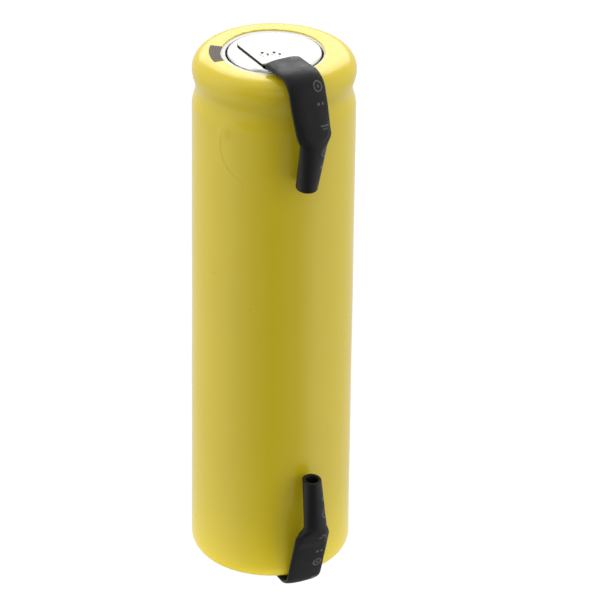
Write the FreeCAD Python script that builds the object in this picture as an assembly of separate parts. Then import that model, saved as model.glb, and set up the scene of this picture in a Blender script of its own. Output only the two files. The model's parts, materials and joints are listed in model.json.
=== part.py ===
import FreeCAD, Part

import math
import os

from FreeCAD import Placement, Rotation, Vector

# Cylindrical rechargeable cell with a solder tag on each end, in millimetres.
# The Z axis is the cell's axis, with the positive terminal at the top. z = 0 is the outer face of
# the negative tag where it is welded to the can's base. Both tags leave the cell towards -Y.

# Outer sleeve: a heat-shrunk film over the can
SLEEVE_R = 7.15
FILM = 0.15
CORNER_R = 1.5
CROWN_R = 1.58
CROWN_Z = 47.6
GROOVE_DEPTH = 0.30
GROOVE_HALF = 1.66
SLEEVE_BOTTOM_HOLE_R = 5.0
SLEEVE_TOP_HOLE_R = 4.45
SLEEVE_TOP_HOLE_SHIFT = -0.21

# Steel can, drawn, beaded under the cover and crimped over it
CAN_R = 6.98
CAN_WALL = 0.25
CAN_BASE_Z = FILM
BEAD_DEPTH = 1.0
BEAD_HALF = 1.6
BEAD_SHOULDER_R = 0.9
CRIMP_R = 1.25
CRIMP_LIP_R = 5.0

# Cover assembly, clamped in the gasket
CAP_R = 4.12
CAP_TOP = 49.25
CAP_SHEET = 0.25
CAP_EDGE_R = 0.3
CAP_FLANGE_R = 5.7
GAS_HOLE_R = 0.25
GAS_HOLE_RISE = 0.35
GAS_HOLE_ANGLES = (30, 150, 270)
COVER_R = 5.9
COVER_Z = 47.55
COVER_SHEET = 0.4
DISH_DEPTH = 1.25
DISH_FLOOR_R = 1.8
DISH_RIM_R = 3.2
DISH_WALL_STEP = 0.15
VENT_HOLE_R = 0.6
SEAT_R = 0.85
SEAT_HEIGHT = 0.10
GASKET_HOLE_R = 4.9
GASKET_FLOOR_Z = 47.22
GASKET_CHAMFER = 0.4
WASHER_HOLE_R = 4.28
WASHER_R = 5.45
FIT_GAP = 0.02

# Spring-loaded vent valve between the cover plate and the cap
SEAL_R = 1.0
SEAL_HEIGHT = 0.5
VENT_PLATE_R = 1.3
VENT_PLATE_SHEET = 0.15
SPRING_R = 1.0
SPRING_WIRE_R = 0.14
SPRING_WIRE_SIDES = 8
SPRING_TURNS = 2.5
SPRING_GAP = 0.01

# Electrode roll: each strip is an offset of the same two-centre spiral
ROLL_CORE_R = 1.26
SEPARATOR = 0.12
POSITIVE_SHEET = 0.62
NEGATIVE_SHEET = 0.42
LAYER_GAP = 0.02
ROLL_HALF_TURNS = 7
POSITIVE_HALF_TURNS = 6
POSITIVE_SPAN = (2.3, 43.0)
NEGATIVE_SPAN = (1.52, 42.3)
SEPARATOR_SPAN = (1.9, 42.6)

# Current collectors, lead and upper insulator
COLLECTOR_SHEET = 0.2
COLLECTOR_R = 6.0
COLLECTOR_HOLE_R = 1.3
SLOT_R = 0.5
SLOT_CIRCLE_R = 3.9
SLOT_COUNT = 6
BOSS_R = 2.2
BOSS_FOOT_R = 3.0
BOSS_WALL_STEP = 0.15
LEAD_SHEET = 0.12
LEAD_WIDTH = 3.0
LEAD_BACK = 1.6
LEAD_FRONT = 2.6
LEAD_HOLE_R = 0.9
INSULATOR_HOLE_R = 4.5
INSULATOR_R = 6.68

# Solder tags: nickel strip, spot-welded at one end and bent round the cell's edge
TAG_WIDTH = 2.86
TAG_SHEET = 0.15
TAG_END_R = 1.0
TAG_BACK = 3.0
BEND_GAP = 0.02
WELD_R = 0.3
WELD_DEPTH = 0.05

# Insulating tubes, shrunk flat over the tags and left round past the tags' ends
TUBE_HALF_WIDTH = 1.76
TUBE_WALL = 0.28
TUBE_END_R = 0.92
TUBE_BORE_R = 0.52
BORE_OVERRUN = 0.1
NARROWING_BEFORE = 0.45
NARROWING_AFTER = 0.85

# Each tag's route, seen from the side: x outwards from the cell's axis, then z
TOP_TAG = {
    "outer_face": CAP_TOP + TAG_SHEET,
    "hinge_x": 1.75,
    "rise": [(2.35, CAP_TOP + TAG_SHEET / 2), (3.25, 49.71)],
    "rise_r": 1.5,
    "mouth_x": 3.45,
    "corner": (7.35, 49.90),
    "corner_r": 1.76,
    "kink": (9.05, 45.20),
    "free_end": (8.20, 39.90),
    "tube_half_height": 0.42,
    "across": -1.08,
    "skew_deg": 1.5,
    "welds": [(0.48, -0.42), (1.04, 0.70)],
}
BOTTOM_TAG = {
    "outer_face": 0.0,
    "hinge_x": 2.62,
    "rise": [(3.2, TAG_SHEET / 2), (4.4, -0.46)],
    "rise_r": 1.5,
    "mouth_x": 5.0,
    "corner": (7.10, -0.46),
    "corner_r": 1.5,
    "kink": (9.10, 5.80),
    "free_end": (8.35, 10.70),
    "tube_half_height": 0.39,
    "across": 0.08,
    "skew_deg": 4.4,
    "welds": [(-0.6, -0.6), (0.6, 0.6)],
}

ORIGIN = Vector(0, 0, 0)
UP = Vector(0, 0, 1)
ACROSS = Vector(0, 1, 0)
EPS = 0.5


# Outlines in the XZ plane, and solids turned or extruded from them

def outline_face(start, *steps):
    """Face whose steps are corners (x, z), or arcs ((x, z) passed through, (x, z) at the end)."""
    edges = []
    here = start
    for step in steps + (start,):
        is_arc = isinstance(step[0], tuple)
        end = step[1] if is_arc else step
        ends = Vector(here[0], 0, here[1]), Vector(end[0], 0, end[1])
        if is_arc:
            through = Vector(step[0][0], 0, step[0][1])
            edges.append(Part.Arc(ends[0], through, ends[1]).toShape())
        else:
            edges.append(Part.LineSegment(*ends).toShape())
        here = end
    return Part.Face(Part.Wire(edges))


def on_circle(centre, radius, degrees):
    angle = math.radians(degrees)
    return centre[0] + radius * math.cos(angle), centre[1] + radius * math.sin(angle)


def arc_step(centre, radius, from_deg, to_deg):
    """Arc step about a centre, for an outline that is already at from_deg."""
    middle = on_circle(centre, radius, (from_deg + to_deg) / 2)
    return middle, on_circle(centre, radius, to_deg)


def groove_steps(radius, z_mid, depth, half_length, shoulder_r, upwards):
    """Three tangent arcs for a rounded groove in a wall: shoulder, hollow, shoulder."""
    sign = 1 if upwards else -1
    centres_apart = (depth ** 2 + half_length ** 2) / (2 * depth)
    turn = math.degrees(math.atan2(half_length, centres_apart - depth))
    first = (radius - shoulder_r, z_mid - sign * half_length)
    last = (radius - shoulder_r, z_mid + sign * half_length)
    leave = on_circle(last, shoulder_r, -sign * turn)
    return (
        arc_step(first, shoulder_r, 0, sign * turn),
        ((radius - depth, z_mid), leave),
        arc_step(last, shoulder_r, -sign * turn, 0),
    )


def turned(face):
    return face.revolve(ORIGIN, UP, 360)


def disc(radius, z_low, z_high):
    return Part.makeCylinder(radius, z_high - z_low, Vector(0, 0, z_low))


def ring(hole_r, radius, z_low, z_high):
    return disc(radius, z_low, z_high).cut(disc(hole_r, z_low - EPS, z_high + EPS))


# Casing

def outer_sleeve():
    inner_r = SLEEVE_R - FILM
    groove_z = CROWN_Z - GROOVE_HALF
    shoulder = (GROOVE_DEPTH ** 2 + GROOVE_HALF ** 2) / (4 * GROOVE_DEPTH)
    crown = (SLEEVE_R - CROWN_R, CROWN_Z)
    corner = (SLEEVE_R - CORNER_R, CORNER_R)
    top_z = CROWN_Z + CROWN_R
    rim_r = SLEEVE_TOP_HOLE_R - EPS
    groove = (groove_z, GROOVE_DEPTH, GROOVE_HALF)
    shell = turned(outline_face(
        (SLEEVE_BOTTOM_HOLE_R, 0.0),
        (corner[0], 0.0),
        arc_step(corner, CORNER_R, -90, 0),
        (SLEEVE_R, groove_z - GROOVE_HALF),
        *groove_steps(SLEEVE_R, *groove, shoulder, True),
        arc_step(crown, CROWN_R, 0, 90),
        (rim_r, top_z),
        (rim_r, top_z - FILM),
        (crown[0], top_z - FILM),
        arc_step(crown, CROWN_R - FILM, 90, 0),
        *groove_steps(inner_r, *groove, shoulder - FILM, False),
        (inner_r, CORNER_R),
        arc_step(corner, CORNER_R - FILM, 0, -90),
        (SLEEVE_BOTTOM_HOLE_R, FILM),
    ))
    hole = disc(SLEEVE_TOP_HOLE_R, CROWN_Z, top_z + EPS)
    hole.translate(Vector(SLEEVE_TOP_HOLE_SHIFT, 0, 0))
    return shell.cut(hole)


def steel_can():
    inner_r = CAN_R - CAN_WALL
    bead_z = CROWN_Z - GROOVE_HALF
    corner_r = CORNER_R - FILM - FIT_GAP
    corner = (CAN_R - corner_r, CAN_BASE_Z + corner_r)
    crimp = (CAN_R - CRIMP_R, CROWN_Z)
    crimp_z = CROWN_Z + CRIMP_R
    bead = (bead_z, BEAD_DEPTH, BEAD_HALF)
    return turned(outline_face(
        (0.0, CAN_BASE_Z),
        (corner[0], CAN_BASE_Z),
        arc_step(corner, corner_r, -90, 0),
        (CAN_R, bead_z - BEAD_HALF),
        *groove_steps(CAN_R, *bead, BEAD_SHOULDER_R, True),
        (CAN_R, CROWN_Z),
        arc_step(crimp, CRIMP_R, 0, 90),
        (CRIMP_LIP_R, crimp_z),
        (CRIMP_LIP_R, crimp_z - CAN_WALL),
        (crimp[0], crimp_z - CAN_WALL),
        arc_step(crimp, CRIMP_R - CAN_WALL, 90, 0),
        (inner_r, bead_z + BEAD_HALF),
        *groove_steps(inner_r, *bead, BEAD_SHOULDER_R - CAN_WALL, False),
        (inner_r, corner[1]),
        arc_step(corner, corner_r - CAN_WALL, 0, -90),
        (0.0, CAN_BASE_Z + CAN_WALL),
    ))


def top_washer():
    return ring(WASHER_HOLE_R, WASHER_R, CROWN_Z + CRIMP_R, CROWN_Z + CROWN_R - FILM)


# Cover, cap and gasket

def positive_cap():
    flange_z = COVER_Z + COVER_SHEET
    edge = (CAP_R - CAP_EDGE_R, CAP_TOP - CAP_EDGE_R)
    cap = turned(outline_face(
        (0.0, CAP_TOP),
        (edge[0], CAP_TOP),
        arc_step(edge, CAP_EDGE_R, 90, 0),
        (CAP_R, flange_z + CAP_SHEET),
        (CAP_FLANGE_R, flange_z + CAP_SHEET),
        (CAP_FLANGE_R, flange_z),
        (CAP_R - CAP_SHEET, flange_z),
        (CAP_R - CAP_SHEET, CAP_TOP - CAP_SHEET),
        (0.0, CAP_TOP - CAP_SHEET),
    ))
    hole_z = flange_z + CAP_SHEET + GAS_HOLE_RISE
    for degrees in GAS_HOLE_ANGLES:
        outwards = Rotation(UP, degrees).multVec(Vector(1, 0, 0))
        cap = cap.cut(Part.makeCylinder(GAS_HOLE_R, CAP_R + EPS, Vector(0, 0, hole_z), outwards))
    return cap


def cover_plate():
    top_z = COVER_Z + COVER_SHEET
    floor_z = top_z - DISH_DEPTH
    return turned(outline_face(
        (VENT_HOLE_R, floor_z - COVER_SHEET),
        (DISH_FLOOR_R, floor_z - COVER_SHEET),
        (DISH_RIM_R, COVER_Z),
        (COVER_R, COVER_Z),
        (COVER_R, top_z),
        (DISH_RIM_R - DISH_WALL_STEP, top_z),
        (DISH_FLOOR_R - DISH_WALL_STEP, floor_z),
        (SEAT_R, floor_z),
        (SEAT_R, floor_z + SEAT_HEIGHT),
        (VENT_HOLE_R, floor_z + SEAT_HEIGHT),
    ))


def sealing_gasket():
    wall_r = CAN_R - CAN_WALL - FIT_GAP
    crimp = (CAN_R - CRIMP_R, CROWN_Z)
    arc_r = wall_r - crimp[0]
    groove_r = COVER_R + FIT_GAP
    ledge_z = COVER_Z - FIT_GAP
    lip_z = COVER_Z + COVER_SHEET + CAP_SHEET + FIT_GAP
    return turned(outline_face(
        (GASKET_HOLE_R, GASKET_FLOOR_Z),
        (wall_r - GASKET_CHAMFER, GASKET_FLOOR_Z),
        (wall_r, GASKET_FLOOR_Z + GASKET_CHAMFER - FIT_GAP),
        arc_step(crimp, arc_r, 0, 90),
        (GASKET_HOLE_R, crimp[1] + arc_r),
        (GASKET_HOLE_R, lip_z),
        (groove_r, lip_z),
        (groove_r, ledge_z),
        (GASKET_HOLE_R, ledge_z),
    ))


# Vent valve

def seal_base_z():
    return COVER_Z + COVER_SHEET - DISH_DEPTH + SEAT_HEIGHT + FIT_GAP


def vent_seal():
    return disc(SEAL_R, seal_base_z(), seal_base_z() + SEAL_HEIGHT)


def vent_plate():
    base_z = seal_base_z() + SEAL_HEIGHT
    return disc(VENT_PLATE_R, base_z, base_z + VENT_PLATE_SHEET)


def spring_wire_section(tangent):
    """Polygon of the round wire's area, across the wire at the start of the helix."""
    side_angle = 2 * math.pi / SPRING_WIRE_SIDES
    corner_r = SPRING_WIRE_R * math.sqrt(side_angle / math.sin(side_angle))
    outwards = Vector(1, 0, 0)
    upwards = Vector(tangent).normalize().cross(outwards)
    points = []
    for side in range(SPRING_WIRE_SIDES + 1):
        y, z = on_circle((0, 0), corner_r, math.degrees(side_angle * (side + 0.5)))
        points.append(outwards * (SPRING_R + y) + upwards * z)
    return Part.makePolygon(points)


def vent_spring():
    low_z = seal_base_z() + SEAL_HEIGHT + VENT_PLATE_SHEET + SPRING_GAP + SPRING_WIRE_R
    high_z = CAP_TOP - CAP_SHEET - SPRING_GAP - SPRING_WIRE_R
    pitch = (high_z - low_z) / SPRING_TURNS
    helix = Part.makeHelix(pitch, high_z - low_z, SPRING_R)
    section = spring_wire_section(Vector(0, 2 * math.pi * SPRING_R, pitch))
    spring = Part.Wire(helix).makePipeShell([section], True, True)
    spring.translate(Vector(0, 0, low_z))
    return spring


# Electrode roll

def layer_offsets():
    """Distance of each layer's inner face from the spiral, and the roll's pitch."""
    offsets = {}
    here = 0.0
    for layer, sheet in (
        ("inner_separator", SEPARATOR),
        ("positive_electrode", POSITIVE_SHEET),
        ("outer_separator", SEPARATOR),
        ("negative_electrode", NEGATIVE_SHEET),
    ):
        offsets[layer] = here
        here += sheet + LAYER_GAP
    return offsets, here


def spiral_arcs(offset, half_turns, pitch):
    """Half-turn arcs of the two-centre spiral, offset outwards, as edges in order."""
    arcs = []
    for half_turn in range(half_turns):
        centre = (pitch / 2 * (half_turn % 2), 0.0)
        radius = ROLL_CORE_R + offset + half_turn * pitch / 2
        angles = [180 * half_turn + step for step in (0, 90, 180)]
        points = [Vector(*on_circle(centre, radius, angle), 0) for angle in angles]
        arcs.append(Part.Arc(*points).toShape())
    return arcs


def rolled_strip(layer, sheet, span, half_turns=ROLL_HALF_TURNS):
    offsets, pitch = layer_offsets()
    inner = spiral_arcs(offsets[layer], half_turns, pitch)
    outer = spiral_arcs(offsets[layer] + sheet, half_turns, pitch)
    starts = inner[0].Vertexes[0].Point, outer[0].Vertexes[0].Point
    ends = inner[-1].Vertexes[-1].Point, outer[-1].Vertexes[-1].Point
    closing = [Part.LineSegment(*pair).toShape() for pair in (starts, ends)]
    wire = Part.Wire(Part.__sortEdges__(inner + outer + closing))
    strip = Part.Face(wire).extrude(Vector(0, 0, span[1] - span[0]))
    strip.translate(Vector(0, 0, span[0]))
    return strip


def positive_electrode():
    name = "positive_electrode"
    return rolled_strip(name, POSITIVE_SHEET, POSITIVE_SPAN, POSITIVE_HALF_TURNS)


# Collectors, lead and insulator

def with_slots(plate, z_low):
    """The plate with a circle of round electrolyte holes."""
    for index in range(SLOT_COUNT):
        x, y = on_circle((0, 0), SLOT_CIRCLE_R, 360 * (index + 0.5) / SLOT_COUNT)
        hole = disc(SLOT_R, z_low - EPS, z_low + COLLECTOR_SHEET + EPS)
        hole.translate(Vector(x, y, 0))
        plate = plate.cut(hole)
    return plate


def positive_collector():
    z_low = POSITIVE_SPAN[1] + FIT_GAP
    return with_slots(ring(COLLECTOR_HOLE_R, COLLECTOR_R, z_low, z_low + COLLECTOR_SHEET), z_low)


def negative_collector():
    boss_z = CAN_BASE_Z + CAN_WALL
    disc_z = NEGATIVE_SPAN[0] - FIT_GAP - COLLECTOR_SHEET
    plate = turned(outline_face(
        (0.0, boss_z),
        (BOSS_R, boss_z),
        (BOSS_FOOT_R, disc_z),
        (COLLECTOR_R, disc_z),
        (COLLECTOR_R, disc_z + COLLECTOR_SHEET),
        (BOSS_FOOT_R - BOSS_WALL_STEP, disc_z + COLLECTOR_SHEET),
        (BOSS_R - BOSS_WALL_STEP, boss_z + COLLECTOR_SHEET),
        (0.0, boss_z + COLLECTOR_SHEET),
    ))
    return with_slots(plate, disc_z)


def positive_lead():
    """Ribbon folded into a C between the collector and the underside of the cover's dish."""
    low = POSITIVE_SPAN[1] + FIT_GAP + COLLECTOR_SHEET
    high = COVER_Z - DISH_DEPTH
    fold = (LEAD_FRONT, (low + high) / 2)
    fold_r = (high - low) / 2
    ribbon = outline_face(
        (-LEAD_BACK, low),
        (LEAD_FRONT, low),
        arc_step(fold, fold_r, -90, 90),
        (-LEAD_BACK, high),
        (-LEAD_BACK, high - LEAD_SHEET),
        (LEAD_FRONT, high - LEAD_SHEET),
        arc_step(fold, fold_r - LEAD_SHEET, 90, -90),
        (-LEAD_BACK, low + LEAD_SHEET),
    ).extrude(Vector(0, LEAD_WIDTH, 0))
    ribbon.translate(Vector(0, -LEAD_WIDTH / 2, 0))
    return ribbon.cut(disc(LEAD_HOLE_R, fold[1], high + EPS))


def upper_insulator():
    z_low = POSITIVE_SPAN[1] + COLLECTOR_SHEET + 2 * FIT_GAP
    return ring(INSULATOR_HOLE_R, INSULATOR_R, z_low, z_low + COLLECTOR_SHEET)


# Tags and tubes. Each is built with x pointing outwards, then turned to where it leaves the cell.

def placed(shape, tag):
    """Shift a shape built along +X across the cell, and turn it towards -Y with the tag's skew."""
    shape.translate(Vector(0, tag["across"], 0))
    shape.rotate(ORIGIN, UP, -90 - tag["skew_deg"])
    return shape


def heading(start, end):
    return math.degrees(math.atan2(end[1] - start[1], end[0] - start[0]))


def along(start, direction_deg, distance):
    return on_circle(start, distance, direction_deg)


def path_pieces(corners, radii):
    """Straight runs (start, heading, length) and bends (start, heading, centre, turn) in order."""
    pieces = []
    here = corners[0]
    for index, corner in enumerate(corners[1:-1]):
        before = heading(corners[index], corner)
        after = heading(corner, corners[index + 2])
        turn = after - before
        radius = radii[index]
        tangent = radius * math.tan(math.radians(abs(turn) / 2))
        start = along(corner, before, -tangent)
        centre = along(start, before + math.copysign(90, turn), radius)
        pieces.append(("run", here, before, math.dist(here, start)))
        pieces.append(("bend", start, before, centre, turn))
        here = along(corner, after, tangent)
    pieces.append(("run", here, heading(*corners[-2:]), math.dist(here, corners[-1])))
    return pieces


def stand_section(wire, point, direction_deg):
    """Place a section drawn in the YZ plane so that it faces along the direction."""
    section = wire.copy()
    turn = Rotation(ACROSS, -direction_deg)
    section.Placement = Placement(Vector(point[0], 0, point[1]), turn)
    return section


def swept(wire, pieces):
    """Solid of one section along straight runs and circular bends."""
    solids = []
    for kind, start, direction_deg, *rest in pieces:
        face = Part.Face(stand_section(wire, start, direction_deg))
        if kind == "run":
            step = along((0, 0), direction_deg, rest[0])
            solids.append(face.extrude(Vector(step[0], 0, step[1])))
        else:
            centre, turn = rest
            solids.append(face.revolve(Vector(centre[0], 0, centre[1]), ACROSS, -turn))
    return solids


def joined(solids):
    return solids[0].multiFuse(solids[1:]).removeSplitter()


def strip_section():
    half_w = TAG_WIDTH / 2
    half_t = TAG_SHEET / 2
    corners = [(-half_w, -half_t), (half_w, -half_t), (half_w, half_t), (-half_w, half_t)]
    points = [Vector(0, y, z) for y, z in corners]
    return Part.makePolygon(points + points[:1])


def tube_section(half_width, half_height):
    """Four-edged section: a flat oval, or a circle when both halves are equal."""
    if half_width == half_height:
        y = z = half_height * math.sqrt(0.5)
        top = Part.Arc(Vector(0, -y, z), Vector(0, 0, half_height), Vector(0, y, z)).toShape()
        low = Part.Arc(Vector(0, y, -z), Vector(0, 0, -half_height), Vector(0, -y, -z)).toShape()
    else:
        y, z = half_width - half_height, half_height
        top = Part.LineSegment(Vector(0, -y, z), Vector(0, y, z)).toShape()
        low = Part.LineSegment(Vector(0, y, -z), Vector(0, -y, -z)).toShape()
    right = Part.Arc(Vector(0, y, z), Vector(0, half_width, 0), Vector(0, y, -z)).toShape()
    left = Part.Arc(Vector(0, -y, -z), Vector(0, -half_width, 0), Vector(0, -y, z)).toShape()
    return Part.Wire([top, right, low, left])


def tag_pad(tag):
    """Welded half of the strip: flat, with rounded corners at its free end."""
    z_low = tag["outer_face"] - (TAG_SHEET if tag is TOP_TAG else 0)
    front = tag["hinge_x"] - BEND_GAP
    half_w = TAG_WIDTH / 2
    plate = Part.makeBox(front + TAG_BACK, TAG_WIDTH, TAG_SHEET, Vector(-TAG_BACK, -half_w, z_low))
    corners = [edge for edge in plate.Edges if is_back_corner(edge)]
    plate = plate.makeFillet(TAG_END_R, corners)
    outwards = 1 if tag is TOP_TAG else -1
    ball_r = (WELD_R ** 2 + WELD_DEPTH ** 2) / (2 * WELD_DEPTH)
    for x, y in tag["welds"]:
        ball_z = tag["outer_face"] + outwards * (ball_r - WELD_DEPTH)
        plate = plate.cut(Part.makeSphere(ball_r, Vector(x, y, ball_z)))
    return placed(plate, tag)


def is_back_corner(edge):
    low, high = edge.BoundBox.ZMin, edge.BoundBox.ZMax
    return high - low > TAG_SHEET / 2 and edge.BoundBox.XMax < -TAG_BACK + BEND_GAP


def tag_arm(tag):
    """Free half of the strip: from the bend line, round the cell's edge, to inside the tube."""
    centre_z = tag["rise"][0][1]
    start = (tag["hinge_x"] + BEND_GAP, centre_z)
    last = heading(tag["corner"], tag["kink"])
    end = along(tag["kink"], last, -NARROWING_BEFORE)
    corners = [start, *tag["rise"], tag["corner"], end]
    radii = [tag["rise_r"], tag["rise_r"], tag["corner_r"]]
    return placed(joined(swept(strip_section(), path_pieces(corners, radii))), tag)


def tube_body(tag, flat, round_r, overrun):
    """Solid of the tube's outside or bore; overrun carries a bore past both ends."""
    rise_end, corner, kink, tip = tag["rise"][1], tag["corner"], tag["kink"], tag["free_end"]
    first = heading(rise_end, corner)
    reach = (tag["mouth_x"] - rise_end[0]) / math.cos(math.radians(first))
    mouth = along(rise_end, first, reach - overrun)
    down = heading(corner, kink)
    back = heading(kink, tip)
    narrow_start = along(kink, down, -NARROWING_BEFORE)
    narrow_end = along(kink, back, NARROWING_AFTER)
    oval = tube_section(*flat)
    circle = tube_section(round_r, round_r)
    solids = swept(oval, path_pieces([mouth, corner, narrow_start], [tag["corner_r"]]))
    ends = [stand_section(oval, narrow_start, down), stand_section(circle, narrow_end, back)]
    solids.append(Part.makeLoft(ends, True, True))
    free = math.dist(narrow_end, tip) + overrun
    solids += swept(circle, [("run", narrow_end, back, free)])
    return joined(solids)


def tag_tube(tag):
    half_height = tag["tube_half_height"]
    outside = tube_body(tag, (TUBE_HALF_WIDTH, half_height), TUBE_END_R, 0.0)
    bore_flat = (TUBE_HALF_WIDTH - TUBE_WALL, half_height - TUBE_WALL)
    bore = tube_body(tag, bore_flat, TUBE_BORE_R, BORE_OVERRUN)
    return placed(outside.cut(bore), tag)


# Every node, in order from the outside inwards, then the tags

def build():
    return {
        "outer_sleeve": outer_sleeve(),
        "steel_can": steel_can(),
        "top_washer": top_washer(),
        "positive_cap": positive_cap(),
        "cover_plate": cover_plate(),
        "sealing_gasket": sealing_gasket(),
        "vent_seal": vent_seal(),
        "vent_plate": vent_plate(),
        "vent_spring": vent_spring(),
        "positive_lead": positive_lead(),
        "positive_collector": positive_collector(),
        "negative_collector": negative_collector(),
        "upper_insulator": upper_insulator(),
        "positive_electrode": positive_electrode(),
        "negative_electrode": rolled_strip("negative_electrode", NEGATIVE_SHEET, NEGATIVE_SPAN),
        "inner_separator": rolled_strip("inner_separator", SEPARATOR, SEPARATOR_SPAN),
        "outer_separator": rolled_strip("outer_separator", SEPARATOR, SEPARATOR_SPAN),
        "positive_tag": tag_pad(TOP_TAG),
        "positive_tag_arm": tag_arm(TOP_TAG),
        "positive_tube": tag_tube(TOP_TAG),
        "negative_tag": tag_pad(BOTTOM_TAG),
        "negative_tag_arm": tag_arm(BOTTOM_TAG),
        "negative_tube": tag_tube(BOTTOM_TAG),
    }


def write_parts():
    os.makedirs("parts", exist_ok=True)
    for node, shape in build().items():
        solids = shape.Solids
        print(f"{node}: solids {len(solids)}, valid {shape.isValid()}, volume {shape.Volume:.3f} mm3")
        solids[0].exportStep(f"parts/{node}.step")


write_parts()
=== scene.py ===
import json
import math

import bpy
import numpy as np
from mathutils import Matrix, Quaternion, Vector, noise


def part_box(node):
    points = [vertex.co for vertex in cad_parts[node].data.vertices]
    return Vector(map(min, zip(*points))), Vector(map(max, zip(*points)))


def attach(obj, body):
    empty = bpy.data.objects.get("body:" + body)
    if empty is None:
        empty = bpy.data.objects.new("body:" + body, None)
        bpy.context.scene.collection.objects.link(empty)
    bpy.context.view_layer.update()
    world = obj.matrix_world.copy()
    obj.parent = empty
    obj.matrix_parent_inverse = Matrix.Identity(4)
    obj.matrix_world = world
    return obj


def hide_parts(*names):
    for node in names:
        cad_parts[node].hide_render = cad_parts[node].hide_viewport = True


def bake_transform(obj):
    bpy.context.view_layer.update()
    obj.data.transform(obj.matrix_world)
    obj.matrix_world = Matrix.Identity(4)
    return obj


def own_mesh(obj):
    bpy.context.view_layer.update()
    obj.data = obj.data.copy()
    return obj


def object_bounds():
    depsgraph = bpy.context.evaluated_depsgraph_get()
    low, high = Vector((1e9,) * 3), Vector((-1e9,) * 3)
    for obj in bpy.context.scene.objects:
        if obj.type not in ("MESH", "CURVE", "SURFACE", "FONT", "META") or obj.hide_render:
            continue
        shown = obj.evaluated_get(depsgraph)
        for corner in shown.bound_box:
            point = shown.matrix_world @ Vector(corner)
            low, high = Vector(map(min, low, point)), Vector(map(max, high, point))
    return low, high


# A cylindrical cell in a yellow shrink film, with a solder tag in a black tube at each end.
# Sizes are in millimetres, in the frame's own axes: +Z up the cell, tags towards -Y.

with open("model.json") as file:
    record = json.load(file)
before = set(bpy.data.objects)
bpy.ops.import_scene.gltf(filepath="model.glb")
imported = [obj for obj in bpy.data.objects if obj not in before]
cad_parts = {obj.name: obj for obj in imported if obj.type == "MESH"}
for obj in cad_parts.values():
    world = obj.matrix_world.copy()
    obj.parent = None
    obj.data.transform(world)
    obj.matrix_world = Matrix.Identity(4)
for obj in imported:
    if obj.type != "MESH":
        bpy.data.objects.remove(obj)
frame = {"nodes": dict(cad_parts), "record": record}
CAD_LOW, CAD_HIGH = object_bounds()
MM = 0.001


def cad_low(node):
    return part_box(node)[0] / MM


def cad_high(node):
    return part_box(node)[1] / MM


# Film sleeve and what it covers
SLEEVE_R = cad_high("outer_sleeve").y
SLEEVE_TOP = cad_high("outer_sleeve").z
FILM = SLEEVE_TOP - cad_high("top_washer").z
CORNER_R = 1.5
CROWN_R = 1.58
GROOVE_DEPTH = 0.30
GROOVE_HALF = 1.66
BOTTOM_HOLE_R = 5.0
TOP_HOLE_R = 4.66
TOP_HOLE_SHIFT = -0.14
TOP_HOLE_OVAL = 0.12
TOP_HOLE_LONG_DEG = 60.0
CROWN_Z = SLEEVE_TOP - CROWN_R
GROOVE_Z = CROWN_Z - GROOVE_HALF
CAN_R = cad_high("steel_can").x
CAN_BASE = cad_low("steel_can").z
CAN_TOP = cad_high("steel_can").z
CAN_WALL = 0.25
CAN_CORNER_R = CORNER_R - FILM - 0.02
CRIMP_R = 1.25
BEAD_DEPTH = 1.0
BEAD_HALF = 1.6

# Cap and washer
CAP_R = 4.12
CAP_SHEET = 0.25
CAP_EDGE_R = 0.28
CAP_TOP = cad_high("positive_cap").z
CAP_BASE = cad_low("positive_cap").z
CAP_FLANGE_R = cad_high("positive_cap").x
WASHER_HOLE_R = 4.28
WASHER_R = cad_high("top_washer").x

# Coil spring that holds the vent valve shut
SPRING_WIRE_R = 0.135
SPRING_WIRE_SIDES = 12
SPRING_TURNS = 2.5
SPRING_STEP_DEG = 10

# Tags: a strip welded flat at one end and bent round the cell's edge, seen from the side as
# (x outwards, z), then turned to where it leaves the cell. half_width is the tube's at its mouth
# and at the kink, narrowing is where it turns from flat to round, before and after the kink, and
# the sways are how far the round part stands to one side.
STRIP_WIDTH = 2.86
STRIP = 0.15
STRIP_BACK = 3.0
STRIP_CORNER_R = 1.0
TOP_TAG = {
    "outer_face": CAP_TOP + STRIP,
    "outwards": 1,
    "hinge_x": 1.75,
    "rise": [(2.35, CAP_TOP + STRIP / 2), (3.25, 49.71)],
    "rise_r": 1.5,
    "mouth_x": 3.45,
    "corner": (7.35, 49.895),
    "corner_r": 1.76,
    "kink": (9.05, 45.20),
    "free_end": (8.20, 39.90),
    "half_height": 0.42,
    "half_width": (1.74, 1.64),
    "narrowing": (0.05, 1.15),
    "neck_half_width": 1.36,
    "end_r": 0.96,
    "end_slant": 0.0,
    "neck_sway": 0.16,
    "end_sway": -0.16,
    "across": -1.03,
    "skew_deg": 1.5,
    "welds": [(0.67, -0.33), (1.07, 0.62)],
}
BOTTOM_TAG = {
    "outer_face": 0.0,
    "outwards": -1,
    "hinge_x": 2.62,
    "rise": [(3.2, STRIP / 2), (4.4, -0.37)],
    "rise_r": 1.5,
    "mouth_x": 5.0,
    "corner": (7.10, -0.37),
    "corner_r": 1.5,
    "kink": (9.10, 5.80),
    "free_end": (8.35, 10.70),
    "half_height": 0.30,
    "half_width": (1.65, 1.65),
    "narrowing": (0.45, 0.75),
    "neck_half_width": 1.12,
    "end_r": 0.85,
    "end_slant": 0.45,
    "neck_sway": 0.29,
    "end_sway": 0.21,
    "across": -0.12,
    "skew_deg": 4.4,
    "welds": [(-0.6, -0.6), (0.6, 0.6)],
}
STRIP_END_GAP = 0.05

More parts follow.
